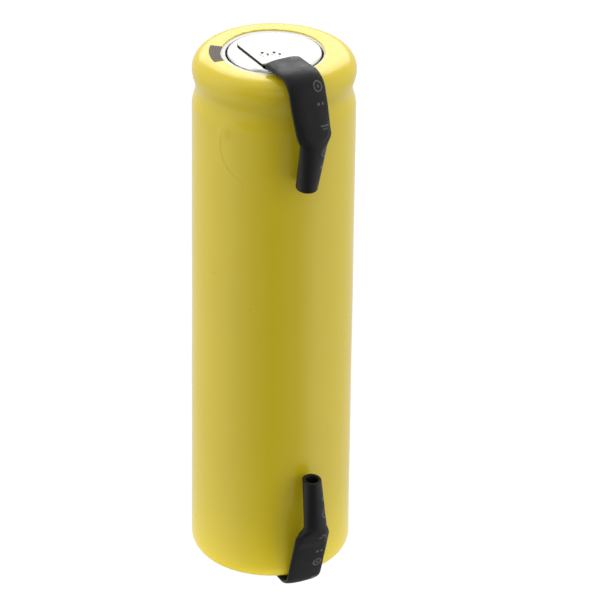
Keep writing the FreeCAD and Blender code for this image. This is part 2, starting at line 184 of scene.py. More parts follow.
# Tubes shrunk over the tags
TUBE_WALL = 0.20
TUBE_BORE_R = 0.56
TUBE_FLAT_POWER = 2.5
TUBE_BORE_POWER = 4.0
TUBE_EDGE = 0.06
TUBE_MOUTH_FLARE = 0.03
TUBE_RIPPLE = 0.012
TUBE_POINTS = 132
TUBE_STEP = 0.1
SLANT_LENGTH = 1.6
KINK_R = 1.3
UV_MM = 10.0  # one unit of a UV map

# Where the picture is taken from
VIEW_AZIMUTH = -30.0
VIEW_ELEVATION = 27.703
VIEW_DISTANCE = 387.66
VIEW_ROLL = 0.531
LENS = 261.5
SENSOR = 36.0
SHIFT = (0.0464, 0.0059)
LOOK_AT = (0.0, 0.0, 24.58)


# Lines made of straight runs and tangent arcs

def rounded_line(corners, spacing, arc_step_deg=6.0):
    """Points along corners given as (x, z, radius of the arc there), no further apart than spacing."""
    points = []
    flat = [np.array(c[:2], float) for c in corners]
    here = flat[0]
    for before, corner, after in zip(flat, corners[1:-1], flat[2:]):
        at = np.array(corner[:2], float)
        into = (at - before) / np.linalg.norm(at - before)
        out = (after - at) / np.linalg.norm(after - at)
        turn = math.atan2(into[0] * out[1] - into[1] * out[0], into @ out)
        reach = corner[2] * math.tan(abs(turn) / 2)
        points += run_points(here, at - into * reach, spacing)
        side = math.copysign(1.0, turn) * corner[2]
        centre = at - into * reach + side * np.array((-into[1], into[0]))
        steps = max(1, math.ceil(abs(math.degrees(turn)) / arc_step_deg))
        arm = at - into * reach - centre
        for step in range(steps):
            angle = turn * step / steps
            c, s = math.cos(angle), math.sin(angle)
            points.append(centre + (arm[0] * c - arm[1] * s, arm[0] * s + arm[1] * c))
        here = at + out * reach
    points += run_points(here, flat[-1], spacing)
    points.append(flat[-1])
    return np.array(points)


def run_points(start, end, spacing):
    """Points along a straight run, without its end."""
    count = math.ceil(np.linalg.norm(end - start) / spacing)
    return [start + (end - start) * step / count for step in range(count)]


def rounded_loop(corners, spacing, arc_step_deg=12.0):
    """Closed outline: the same, from halfway along the last side round to there again."""
    first, last = corners[0], corners[-1]
    middle = ((first[0] + last[0]) / 2, (first[1] + last[1]) / 2, 0)
    return rounded_line([middle, *corners, middle], spacing, arc_step_deg)[:-1]


def lengths_along(points):
    steps = np.linalg.norm(np.diff(points, axis=0), axis=1)
    return np.concatenate(([0.0], np.cumsum(steps)))


def smooth(low, high, value):
    t = np.clip((np.asarray(value, float) - low) / (high - low), 0, 1)
    return t * t * (3 - 2 * t)


def bell(distance, half_width):
    """1 at distance 0, falling smoothly to 0 at half_width."""
    return 1 - smooth(0, half_width, np.abs(distance))


# Meshes

def mesh_piece(name, points, faces, material):
    mesh = bpy.data.meshes.new(name)
    mesh.from_pydata((np.asarray(points) * MM).tolist(), [], faces)
    mesh.validate()
    mesh.polygons.foreach_set("use_smooth", [True] * len(mesh.polygons))
    mesh.materials.append(material)
    piece = bpy.data.objects.new(name, mesh)
    bpy.context.scene.collection.objects.link(piece)
    return piece


def grid_faces(rows, columns, close_rows):
    """Quads between rows of points, each row a closed ring."""
    faces = []
    for row in range(rows if close_rows else rows - 1):
        this, after = row * columns, (row + 1) % rows * columns
        for column in range(columns):
            beside = (column + 1) % columns
            faces.append((this + column, this + beside, after + beside, after + column))
    return faces


def turned_piece(name, outline, segments, material, relief=None):
    """Closed (r, z) outline turned about the cell's axis; relief shifts its points by (dr, dz)."""
    angles = np.linspace(0, 2 * math.pi, segments, endpoint=False)
    radius = np.repeat(outline[:, 0], segments)
    height = np.repeat(outline[:, 1], segments)
    angle = np.tile(angles, len(outline))
    if relief:
        out, up = relief(np.repeat(np.arange(len(outline)), segments), angle, radius, height)
        radius, height = radius + out, height + up
    points = np.column_stack((radius * np.cos(angle), radius * np.sin(angle), height))
    faces = [face[::-1] for face in grid_faces(len(outline), segments, True)]
    return mesh_piece(name, points, faces, material)


# Node materials

def new_material(name):
    material = bpy.data.materials.new(name)
    material.use_nodes = True
    return material, material.node_tree


def node(tree, kind, inputs=None, **settings):
    made = tree.nodes.new("ShaderNode" + kind)
    for key, value in settings.items():
        setattr(made, key, value)
    for key, value in (inputs or {}).items():
        if isinstance(value, bpy.types.NodeSocket):
            tree.links.new(value, made.inputs[key])
        else:
            made.inputs[key].default_value = value
    return made


def calc(tree, operation, *values):
    made = node(tree, "Math", dict(enumerate(values)), operation=operation)
    return made.outputs[0]


def blended(tree, factor, first, second):
    """Colour between two colours."""
    return node(tree, "Mix", {0: factor, 6: first, 7: second}, data_type="RGBA").outputs[2]


def mixed(tree, factor, first, second):
    """Number between two numbers."""
    return node(tree, "Mix", {0: factor, 2: first, 3: second}).outputs[0]


def rgb(red, green, blue):
    return (red, green, blue, 1.0)


def ramp(tree, value, low, high, to_low=0.0, to_high=1.0):
    """Smooth step of a value between two limits."""
    inputs = {0: value, 1: low, 2: high, 3: to_low, 4: to_high}
    return node(tree, "MapRange", inputs, interpolation_type="SMOOTHSTEP").outputs[0]


def place_on_part(tree, stretch=(1, 1, 1)):
    """The point's place on the part, in millimetres, stretched for long grain."""
    place = node(tree, "TexCoord").outputs["Object"]
    scale = [value / MM for value in stretch]
    return node(tree, "Mapping", {"Vector": place, "Scale": scale}).outputs[0]


def grain(tree, place, scale, detail=3.0):
    inputs = {"Vector": place, "Scale": scale, "Detail": detail}
    return node(tree, "TexNoise", inputs).outputs[0]


def bumped(tree, height, depth_mm, normal=None):
    inputs = {"Height": height, "Distance": depth_mm * MM, "Strength": 1.0}
    if normal:
        inputs["Normal"] = normal
    return node(tree, "Bump", inputs).outputs[0]


def principled(tree, **inputs):
    """Set the shader's sockets: uniform values stay on the socket, others are linked."""
    shader = tree.nodes["Principled BSDF"]
    for key, value in inputs.items():
        socket = shader.inputs[key.replace("_", " ")]
        if isinstance(value, bpy.types.NodeSocket):
            tree.links.new(value, socket)
        else:
            socket.default_value = value


def varied_material(name, dark, light, scale, rough, bump_scale, bump_depth, **uniform):
    """Plain material: colour and roughness vary with noise, with a fine bump."""
    material, tree = new_material(name)
    place = place_on_part(tree)
    patches = grain(tree, place, scale)
    principled(
        tree,
        Base_Color=blended(tree, patches, rgb(*dark), rgb(*light)),
        Roughness=ramp(tree, patches, 0.3, 0.7, *rough),
        Normal=bumped(tree, grain(tree, place, bump_scale), bump_depth),
        **uniform,
    )
    return material


FILM_YELLOW = (0.86, 0.676, 0.021)
FILM_YELLOW_DEEP = (0.81, 0.628, 0.018)
PATCH_GREY = (0.13, 0.11, 0.11)
PATCH_R = (4.60, 5.68)
PATCH_AZIMUTH = (138.0, 175.0)


def film_material():
    """Glossy shrink film with faint clouding, orange peel, specks and a plain grey print patch."""
    material, tree = new_material("yellow_shrink_film")
    place = place_on_part(tree)
    clouds = grain(tree, place, 0.18)
    colour = blended(tree, clouds, rgb(*FILM_YELLOW_DEEP), rgb(*FILM_YELLOW))
    specks = ramp(tree, grain(tree, place, 2.1, 1.0), 0.80, 0.83, 0.0, 0.45)
    colour = blended(tree, specks, colour, rgb(0.30, 0.20, 0.02))
    patch = patch_mask(tree, place)
    colour = blended(tree, patch, colour, rgb(*PATCH_GREY))
    peel = bumped(tree, grain(tree, place, 1.6, 2.0), 0.004)
    fine = bumped(tree, grain(tree, place, 22.0, 2.0), 0.0006, peel)
    principled(
        tree,
        Base_Color=colour,
        Roughness=mixed(tree, patch, ramp(tree, grain(tree, place, 0.9), 0.3, 0.7, 0.16, 0.26), 0.85),
        Normal=fine,
        IOR=1.54,
    )
    return material


def patch_mask(tree, place):
    """1 inside a sector of a ring on the top lip, with thin lighter lines round it."""
    axes = node(tree, "SeparateXYZ", {0: place}).outputs
    radius = distance(tree, axes[0], axes[1])
    azimuth = calc(tree, "DEGREES", calc(tree, "ARCTAN2", axes[1], axes[0]))
    between = band(tree, radius, *PATCH_R, 0.05)
    inside = calc(tree, "MULTIPLY", between, band(tree, azimuth, *PATCH_AZIMUTH, 0.7))
    on_top = ramp(tree, axes[2], CROWN_Z + 0.9, CROWN_Z + 1.0)
    lines = calc(tree, "SINE", calc(tree, "MULTIPLY", radius, 26.0))
    worn = ramp(tree, lines, -1.0, 1.0, 0.93, 1.0)
    return calc(tree, "MULTIPLY", calc(tree, "MULTIPLY", inside, on_top), worn)


def distance(tree, x, y):
    """Distance of (x, y) from the origin."""
    squares = [calc(tree, "MULTIPLY", value, value) for value in (x, y)]
    return calc(tree, "POWER", calc(tree, "ADD", *squares), 0.5)


def band(tree, value, low, high, edge):
    rise = ramp(tree, value, low - edge, low + edge)
    return calc(tree, "MULTIPLY", rise, ramp(tree, value, high - edge, high + edge, 1.0, 0.0))


def metal_material(name, colour, rough, stretch, depth_mm, highlight_rim_r=None):
    """Plated metal with fine drawing marks; given a rim radius, spun, and painted paler from that radius
    out as a painted highlight.
    """
    material, tree = new_material(name)
    place = place_on_part(tree, stretch)
    if highlight_rim_r:
        axes = node(tree, "SeparateXYZ", {0: place}).outputs
        radius = distance(tree, axes[0], axes[1])
        place = node(tree, "CombineXYZ", {0: radius, 1: axes[2]}).outputs[0]
    marks = grain(tree, place, 3.0, 4.0)
    stains = grain(tree, place_on_part(tree), 0.5)
    plating = blended(tree, stains, rgb(*[value * 0.90 for value in colour]), rgb(*colour))
    # Painted highlight: the cap's rounded rim is painted near white against the darker top, for a bright
    # ring round its edge.
    if highlight_rim_r:
        plating = blended(tree, ramp(tree, radius, highlight_rim_r, highlight_rim_r + 0.2), plating, rgb(0.86, 0.86, 0.84))
    principled(
        tree,
        Base_Color=plating,
        Metallic=1.0,
        Roughness=ramp(tree, marks, 0.25, 0.75, *rough),
        Normal=bumped(tree, marks, depth_mm),
    )
    return material


# Print on the tubes: bars as (across, along, half across, half along) and rings as (across,
# along, radius, half line), in millimetres
PRINT_SPACING = 5.6
PRINT_BARS = [
    (0.70, 0.35, 0.13, 0.13),
    (1.14, 0.35, 0.13, 0.13),
    (0.92, 2.25, 0.40, 0.07),
    (0.92, 2.52, 0.22, 0.07),
]
PRINT_RINGS = [(0.92, 4.5, 0.38, 0.065), (0.92, 4.5, 0.0, 0.13)]


def tube_material():
    """Satin black polyolefin with a fine skin, and a row of plain marks along one edge."""
    material, tree = new_material("black_shrink_tube")
    place = place_on_part(tree)
    skin = grain(tree, place, 7.0, 3.0)
    black = blended(tree, skin, rgb(0.0058, 0.0060, 0.0060), rgb(0.0092, 0.0094, 0.0094))
    printed = print_mask(tree, place)
    principled(
        tree,
        Base_Color=blended(tree, printed, black, rgb(0.125, 0.130, 0.145)),
        Roughness=ramp(tree, grain(tree, place, 1.2), 0.3, 0.7, 0.38, 0.50),
        Normal=bumped(tree, grain(tree, place, 14.0, 3.0), 0.003),
        IOR=1.34,
    )
    return material


def print_mask(tree, place):
    """Plain marks repeated along the tube: two bars, a ring round a dot and two squares, a little worn."""
    uv = node(tree, "UVMap", uv_map="tube_print").outputs[0]
    axes = node(tree, "SeparateXYZ", {0: uv}).outputs
    across = calc(tree, "MULTIPLY", axes[0], UV_MM)
    along = calc(tree, "WRAP", calc(tree, "MULTIPLY", axes[1], UV_MM), PRINT_SPACING, 0.0)
    marks = [bar_mark(tree, across, along, *bar) for bar in PRINT_BARS]
    marks += [ring_mark(tree, across, along, *ring) for ring in PRINT_RINGS]
    total = marks[0]
    for mark in marks[1:]:
        total = calc(tree, "MAXIMUM", total, mark)
    worn = ramp(tree, grain(tree, place, 6.0, 2.0), 0.30, 0.55, 0.25, 0.9)
    return calc(tree, "MULTIPLY", total, worn)


def ring_mark(tree, across, along, at_across, at_along, radius, half_line):
    x = calc(tree, "SUBTRACT", across, at_across)
    y = calc(tree, "SUBTRACT", along, at_along)
    off_line = calc(tree, "ABSOLUTE", calc(tree, "SUBTRACT", distance(tree, x, y), radius))
    return ramp(tree, off_line, half_line * 0.6, half_line * 1.3, 1.0, 0.0)


def bar_mark(tree, across, along, at_across, at_along, half_across, half_along):
    edge = 0.02
    sideways = band(tree, across, at_across - half_across, at_across + half_across, edge)
    lengthways = band(tree, along, at_along - half_along, at_along + half_along, edge)
    return calc(tree, "MULTIPLY", sideways, lengthways)


def strip_material():
    """Rolled nickel: bright with fine lines. Painted shade darkens the face lying on the cell, the ends
    and the cut edges, which are also really duller, so their reflection in the cap paints the shadow of
    the gap under the strip; the weld prints' walls are darker too.
    """
    material, tree = new_material("rolled_nickel")
    lines = grain(tree, place_on_part(tree, (6, 0.4, 6)), 3.0, 4.0)
    drag = grain(tree, place_on_part(tree, (1, 1, 12)), 4.0, 4.0)
    uv = node(tree, "UVMap", uv_map="strip_painted_shade_and_welds").outputs[0]
    # Painted shade: this map is 1 on the face towards the cell, on the sides and on the ends, which get
    # the near-black colour below; on the outer face it marks only the darker weld walls.
    worn = ramp(tree, node(tree, "SeparateXYZ", {0: uv}).outputs[0], 0.1, 0.7)
    bright = blended(tree, lines, rgb(0.38, 0.375, 0.355), rgb(0.42, 0.415, 0.395))
    darkened_colour = blended(tree, drag, rgb(0.055, 0.045, 0.040), rgb(0.17, 0.15, 0.135))
    smoother = ramp(tree, lines, 0.25, 0.75, 0.14, 0.28)
    rougher = ramp(tree, drag, 0.3, 0.7, 0.40, 0.62)
    principled(
        tree,
        Base_Color=blended(tree, worn, bright, darkened_colour),
        Metallic=1.0,
        Roughness=mixed(tree, worn, smoother, rougher),
        Normal=bumped(tree, drag, 0.002, bumped(tree, lines, 0.0012)),
    )
    return material


MATERIALS = {
    "sleeve_film": film_material(),
    "drawn_steel": metal_material(
        "drawn_nickel_steel", (0.62, 0.61, 0.585), (0.26, 0.36), (1, 1, 0.1), 0.0006),
    "cap_steel": metal_material(
        "spun_cap", (0.345, 0.345, 0.322), (0.12, 0.24), (1, 1, 1), 0.0008, CAP_R - 0.30),
    "nickel_strip": strip_material(),
    "shrink_tube": tube_material(),
    "washer_card": varied_material(
        "white_card", (0.84, 0.84, 0.83), (0.92, 0.92, 0.90), 2.0, (0.75, 0.95), 9.0, 0.012),
    "gasket_nylon": varied_material(
        "violet_grey_nylon", (0.040, 0.034, 0.048), (0.070, 0.060, 0.080), 1.5, (0.35, 0.55), 6.0, 0.004),
    "seal_rubber": varied_material(
        "vent_rubber", (0.012, 0.012, 0.012), (0.03, 0.03, 0.03), 4.0, (0.6, 0.85), 20.0, 0.004),
    "spring_wire": varied_material(
        "bright_wire", (0.46, 0.45, 0.44), (0.60, 0.59, 0.57), 6.0, (0.2, 0.4), 30.0, 0.001, Metallic=1.0),
    "insulator_card": varied_material(
        "pressed_card", (0.52, 0.46, 0.36), (0.66, 0.60, 0.49), 3.0, (0.7, 0.95), 12.0, 0.010),
    "positive_mass": varied_material(
        "nickel_hydroxide", (0.010, 0.022, 0.014), (0.03, 0.05, 0.035), 5.0, (0.7, 0.95), 18.0, 0.015),
    "negative_mass": varied_material(
        "metal_powder", (0.05, 0.05, 0.055), (0.12, 0.12, 0.125), 5.0, (0.55, 0.8), 18.0, 0.012),
    "separator_felt": varied_material(
        "separator_felt", (0.72, 0.72, 0.70), (0.88, 0.88, 0.86), 4.0, (0.8, 1.0), 16.0, 0.012),
}


# Casing pieces

RING_CREASE = {"azimuth": -132.6, "z": 42.98, "radius": 3.55, "from_deg": 172.0, "to_deg": 285.0}
BLISTER = {"azimuth": -157.0, "z": 44.05, "half_size": 0.95, "height": 0.085}
BASE_PLEATS = 46
BASE_PLEAT_DEPTH = 0.045
LIP_PLEATS = 31
LIP_WAVE = 0.030
LIP_RAGGED = 0.010


def wall_relief(angle, z):
    """How far the film stands off the can's wall: slack, a blister and a thumbnail crease."""
    degrees = np.degrees(angle)
    relief = 0.010 * (np.sin(3 * angle + 0.12 * z) * np.sin(0.31 * z) - 1)
    x = wrapped(degrees - RING_CREASE["azimuth"]) * math.radians(SLEEVE_R)
    y = z - RING_CREASE["z"]
    reach = np.hypot(x, y)
    bearing = np.degrees(np.arctan2(y, x)) % 360
    start, end = RING_CREASE["from_deg"], RING_CREASE["to_deg"]
    fade = smooth(start - 25, start, bearing) * (1 - smooth(end - 35, end, bearing))
    relief += 0.026 * bell(reach - RING_CREASE["radius"], 0.20) * fade
    relief -= 0.014 * bell(reach - RING_CREASE["radius"] + 0.3, 0.3) * fade
    x = wrapped(degrees - BLISTER["azimuth"]) * math.radians(SLEEVE_R)
    y = z - BLISTER["z"]
    relief += BLISTER["height"] * bell(np.hypot(x, y), BLISTER["half_size"])
    return relief


def wrapped(degrees):
    return (degrees + 180) % 360 - 180


def sleeve_outline():
    """The film's section, up its outside, over the crown and back down its inside, and which part
    each point is on: 1 outside, 0 edges and inside."""
    groove = np.arange(0, 2 * GROOVE_HALF + 0.01, 0.12)
    dip = GROOVE_DEPTH * (1 - np.cos(math.pi * groove / GROOVE_HALF)) / 2
    wall = [(SLEEVE_R, z) for z in np.arange(CORNER_R + 0.5, 36.0, 0.5)]
    wall += [(SLEEVE_R, z) for z in np.arange(36.0, GROOVE_Z - GROOVE_HALF - 0.05, 0.1)]
    groove_line = [(SLEEVE_R - d, GROOVE_Z - GROOVE_HALF + g) for g, d in zip(groove, dip)]
    edge = FILM * 0.45
    low = rounded_line([
        (BOTTOM_HOLE_R + FILM, FILM, 0),
        (BOTTOM_HOLE_R, FILM, edge),
        (BOTTOM_HOLE_R, 0.0, edge),
        (SLEEVE_R, 0.0, CORNER_R),
        (SLEEVE_R, CORNER_R + 0.3, 0),
    ], 0.1)
    high = rounded_line([
        (SLEEVE_R, CROWN_Z + 0.05, 0),
        (SLEEVE_R, SLEEVE_TOP, CROWN_R - 0.06),
        (TOP_HOLE_R, SLEEVE_TOP - 0.01, 0.035),
        (TOP_HOLE_R, SLEEVE_TOP - FILM, 0.035),
        (TOP_HOLE_R + FILM, SLEEVE_TOP - FILM, 0),
    ], 0.08, 5.0)
    inner_r = SLEEVE_R - FILM
    inside = [(SLEEVE_R - CROWN_R, SLEEVE_TOP - FILM)]
    for degrees in range(75, -1, -15):
        x = SLEEVE_R - CROWN_R + (CROWN_R - FILM) * math.cos(math.radians(degrees))
        inside.append((x, CROWN_Z + (CROWN_R - FILM) * math.sin(math.radians(degrees))))
    inside += [(inner_r - d, GROOVE_Z - GROOVE_HALF + g) for g, d in zip(groove, dip)][-2:0:-2]
    inside += [(inner_r, z) for z in np.arange(GROOVE_Z - GROOVE_HALF, CORNER_R, -4.0)]
    for degrees in range(0, -91, -15):
        x = SLEEVE_R - CORNER_R + (CORNER_R - FILM) * math.cos(math.radians(degrees))
        inside.append((x, CORNER_R + (CORNER_R - FILM) * math.sin(math.radians(degrees))))
    outside = np.concatenate((low, wall, groove_line, high))
    skin = np.concatenate((np.ones(len(outside)), np.zeros(len(inside))))
    return np.concatenate((outside, inside)), skin


def outer_sleeve():
    outline, skin = sleeve_outline()

    def relief(row, angle, radius, z):
        outer = skin[row]
        on_wall = outer * smooth(CORNER_R, CORNER_R + 4, z) * (1 - smooth(CROWN_Z - 1.2, CROWN_Z, z))
        out = on_wall * wall_relief(angle, z)
        near_hole = smooth(TOP_HOLE_R + 1.2, TOP_HOLE_R, radius) * (z > CROWN_Z)
        out = out + near_hole * (LIP_WAVE * np.sin(5 * angle) + LIP_RAGGED * np.sin(LIP_PLEATS * angle))
        off_round = TOP_HOLE_SHIFT * np.cos(angle)
        off_round += TOP_HOLE_OVAL * np.cos(2 * (angle - math.radians(TOP_HOLE_LONG_DEG)))
        out = out + smooth(SLEEVE_R - CROWN_R, TOP_HOLE_R, radius) * (z > CROWN_Z) * off_round
        up = outer * near_hole * (0.006 * np.sin(LIP_PLEATS * angle + 1.0) - 0.006)
        pleat = np.abs(np.sin(BASE_PLEATS * angle / 2 + 0.6 * np.sin(3 * angle))) ** 3
        on_base = smooth(SLEEVE_R - CORNER_R + 0.2, BOTTOM_HOLE_R, radius) * (z < CORNER_R)
        up = up + on_base * BASE_PLEAT_DEPTH * (0.5 - pleat) * outer
        out = out + on_base * 0.05 * np.sin(7 * angle)
        return out, up

    piece = turned_piece("outer_sleeve_film", outline, 600, MATERIALS["sleeve_film"], relief)
    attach(piece, "cell")
    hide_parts("outer_sleeve")


def steel_can():
    """Drawn can: flat base, beaded under the cover and crimped over it."""
    bead_z = GROOVE_Z
    bead = np.arange(0, 2 * BEAD_HALF + 0.01, 0.16)
    dip = BEAD_DEPTH * (1 - np.cos(math.pi * bead / BEAD_HALF)) / 2
    step = BEAD_DEPTH * math.pi / BEAD_HALF / 2 * np.sin(math.pi * bead / BEAD_HALF)
    tilt = np.arctan(step)
    outside = [(CAN_R - d, bead_z - BEAD_HALF + b) for b, d in zip(bead, dip)]
    inside = [
        (CAN_R - d - CAN_WALL * math.cos(t), bead_z - BEAD_HALF + b - CAN_WALL * math.sin(t))
        for b, d, t in zip(bead, dip, tilt)
    ]
    base_top = CAN_BASE + CAN_WALL
    inner_r = CAN_R - CAN_WALL
    low = rounded_line([
        (0.01, base_top, 0),
        (0.01, CAN_BASE, 0),
        (CAN_R, CAN_BASE, CAN_CORNER_R),
        (CAN_R, CAN_BASE + 4, 0),
    ], 0.5)
    lip_r = CAN_R - CRIMP_R - 0.73
    high = rounded_line([
        (CAN_R, CROWN_Z, 0),
        (CAN_R, CAN_TOP, CRIMP_R),
        (lip_r, CAN_TOP, 0.06),
        (lip_r, CAN_TOP - CAN_WALL, 0.06),
        (inner_r, CAN_TOP - CAN_WALL, CRIMP_R - CAN_WALL),
        (inner_r, CROWN_Z, 0),
    ], 0.3)
    back = rounded_line([
        (inner_r, bead_z - BEAD_HALF - 0.5, 0),
        (inner_r, base_top, CAN_CORNER_R - CAN_WALL),
        (0.3, base_top, 0),
    ], 2.0)
    outline = np.concatenate((low, outside, high, inside[::-1], back))
    piece = turned_piece("steel_can_shell", outline, 180, MATERIALS["drawn_steel"])
    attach(piece, "cell")
    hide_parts("steel_can")


def top_washer():
    low, high = cad_low("top_washer").z, cad_high("top_washer").z
    edge = 0.04
    outline = rounded_loop([
        (WASHER_HOLE_R, low, edge),
        (WASHER_R, low, edge),
        (WASHER_R, high, edge),
        (WASHER_HOLE_R, high, edge),
    ], 0.12)

    def relief(row, angle, radius, z):
        ragged = 0.012 * np.sin(9 * angle) + 0.008 * np.sin(23 * angle + 1)
        return np.where(radius < WASHER_HOLE_R + 0.1, ragged, 0.0), 0 * z

    piece = turned_piece("top_washer_card", outline, 360, MATERIALS["washer_card"], relief)
    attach(piece, "cell")
    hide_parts("top_washer")


def positive_cap():
    """Pressed cap: a button with a rounded edge, a faint spun step and a clamped flange."""
    flange_top = CAP_BASE + CAP_SHEET
    wall_in = CAP_R - CAP_SHEET
    outline = rounded_loop([
        (0.01, CAP_TOP, 0),
        (3.55, CAP_TOP, 1.0),
        (3.75, CAP_TOP - 0.012, 1.0),
        (CAP_R, CAP_TOP - 0.020, CAP_EDGE_R),
        (CAP_R, flange_top, 0.12),
        (CAP_FLANGE_R, flange_top, 0.06),
        (CAP_FLANGE_R, CAP_BASE, 0.06),
        (wall_in, CAP_BASE, 0.3),
        (wall_in, CAP_TOP - CAP_SHEET, 0.1),
        (0.01, CAP_TOP - CAP_SHEET, 0),
    ], 0.12)
    piece = turned_piece("positive_cap_button", outline[::-1], 240, MATERIALS["cap_steel"])
    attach(piece, "cell")
    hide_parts("positive_cap")


def vent_spring():
    """Round wire wound up from the valve to the cap."""
    low, high = cad_low("vent_spring"), cad_high("vent_spring")
    coil_r = high.x - SPRING_WIRE_R
    rise = high.z - low.z - 2 * SPRING_WIRE_R
    turns = np.arange(0, SPRING_TURNS * 360 + 1, SPRING_STEP_DEG) / 360
    points = []
    for turn in turns:
        angle = 2 * math.pi * turn
        for side in range(SPRING_WIRE_SIDES):
            around = -2 * math.pi * side / SPRING_WIRE_SIDES
            radius = coil_r + SPRING_WIRE_R * math.cos(around)
            z = low.z + SPRING_WIRE_R + rise * turn / SPRING_TURNS + SPRING_WIRE_R * math.sin(around)
            points.append((radius * math.cos(angle), radius * math.sin(angle), z))
    faces = grid_faces(len(turns), SPRING_WIRE_SIDES, False)
    faces.append(tuple(range(SPRING_WIRE_SIDES))[::-1])
    faces.append(tuple(range(len(points) - SPRING_WIRE_SIDES, len(points))))
    piece = mesh_piece("vent_spring_coil", points, faces, MATERIALS["spring_wire"])
    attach(piece, "cell")
    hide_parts("vent_spring")
    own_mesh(piece)


# Tags and tubes

def placed(points, tag):
    """Points drawn as (x outwards, y across, z), shifted and turned to where the tag leaves the cell."""
    x, y, z = np.asarray(points, float).T
    angle = math.radians(-90 - tag["skew_deg"])
    c, s = math.cos(angle), math.sin(angle)
    y = y + tag["across"]
    return np.column_stack((x * c - y * s, x * s + y * c, z))


def directions(line):
    tangent = np.gradient(line, axis=0)
    return tangent / np.linalg.norm(tangent, axis=1)[:, None]


def ring_across(at, along, section, lean=0.0):
    """Ring of (across, out) points stood across the direction at an (x, z) point, leaning along it."""
    flat = at + section[:, 1:2] * np.array((-along[1], along[0])) + lean * along
    return np.column_stack((flat[:, 0], section[:, 0], flat[:, 1]))


def even_section(half_width, half_height, power, count):
    """Superellipse with its points spaced evenly, from the +Y end round by the outer face."""
    angle = np.linspace(0, 2 * math.pi, 1441)
    c, s = np.cos(angle), np.sin(angle)
    dense = np.column_stack((
        half_width * np.sign(c) * np.abs(c) ** (2 / power),
        half_height * np.sign(s) * np.abs(s) ** (2 / power),
    ))
    lengths = lengths_along(dense)
    even = np.linspace(0, lengths[-1], count, endpoint=False)
    return np.column_stack([np.interp(even, lengths, dense[:, axis]) for axis in (0, 1)])


def strip_section(half_width, half_thick, count):
    """Strip's section with rounded edges: across its outer face, round, and back across the inner."""
    edge = min(half_thick * 0.7, half_width * 0.4)
    across = np.linspace(half_width - edge, edge - half_width, count)
    arc = np.radians(np.arange(15, 166, 30))
    outwards = edge - half_width - edge * np.sin(arc)
    left = np.column_stack((outwards, (half_thick - edge) + edge * np.cos(arc)))
    left[:, 1] = np.where(np.cos(arc) > 0, left[:, 1], edge * np.cos(arc) - (half_thick - edge))
    over = np.column_stack((across, np.full(count, half_thick)))
    under = np.column_stack((across[::-1], np.full(count, -half_thick)))
    right = np.column_stack((-left[::-1, 0], left[::-1, 1]))
    return np.concatenate((over, left, under, right))


WELD_HALF = (0.54, 0.36)
WELD_WALL = 0.16
WELD_DEPTH = 0.065
WELD_RIM = 0.022


def weld_marks(x, y, tag):
    """Electrode prints: how far the sheet is pushed in or up, and where their steep walls are darker."""
    relief, darker_walls = np.zeros_like(x), np.zeros_like(x)
    for at_x, at_y in tag["welds"]:
        right, up = (x - at_x) / WELD_HALF[0], (y - at_y) / WELD_HALF[1]
        reach = np.hypot(right, up)
        steep = 0.5 + 0.5 * np.cos(4 * np.arctan2(up, right) + 0.5)
        wall = WELD_WALL + 0.3 * (1 - steep)
        relief -= WELD_DEPTH * (0.45 + 0.55 * steep) * (1 - smooth(0, 1, (reach - 1 + wall) / wall))
        relief += WELD_RIM * steep * bell(reach - 1.1, 0.25)
        darker_walls += smooth(0.25, 0.6, steep) * bell(reach - 0.95, 0.30)
    return relief, np.clip(darker_walls, 0, 1)


def strip_line(tag):
    """The strip's middle line from its welded end to just short of the kink, with lengths."""
    middle = tag["outer_face"] - tag["outwards"] * STRIP / 2
    last = np.array(tag["kink"]) - np.array(tag["corner"])
    end = np.array(tag["kink"]) - last / np.linalg.norm(last) * (tag["narrowing"][0] + STRIP_END_GAP)
    corners = [(-STRIP_BACK, middle, 0)]
    corners += [(x, z, tag["rise_r"]) for x, z in tag["rise"]]
    corners += [(*tag["corner"], tag["corner_r"]), (*end, 0)]
    return rounded_line(corners, 0.05, 4.0)


def strip_half_width(lengths):
    """Half width along the strip: rounded corners at the welded end, a half oval at the other."""
    half = STRIP_WIDTH / 2
    from_end = np.clip(lengths, 0, STRIP_CORNER_R)
    start = half - STRIP_CORNER_R + np.sqrt(STRIP_CORNER_R ** 2 - (STRIP_CORNER_R - from_end) ** 2)
    to_end = np.clip(lengths[-1] - lengths, 0, STRIP_CORNER_R)
    end = half * np.sqrt(np.maximum(1 - ((STRIP_CORNER_R - to_end) / STRIP_CORNER_R) ** 2, 0.04))
    return np.minimum(start, end)


STRIP_POINTS = 85
STRIP_EDGE_POINTS = 6


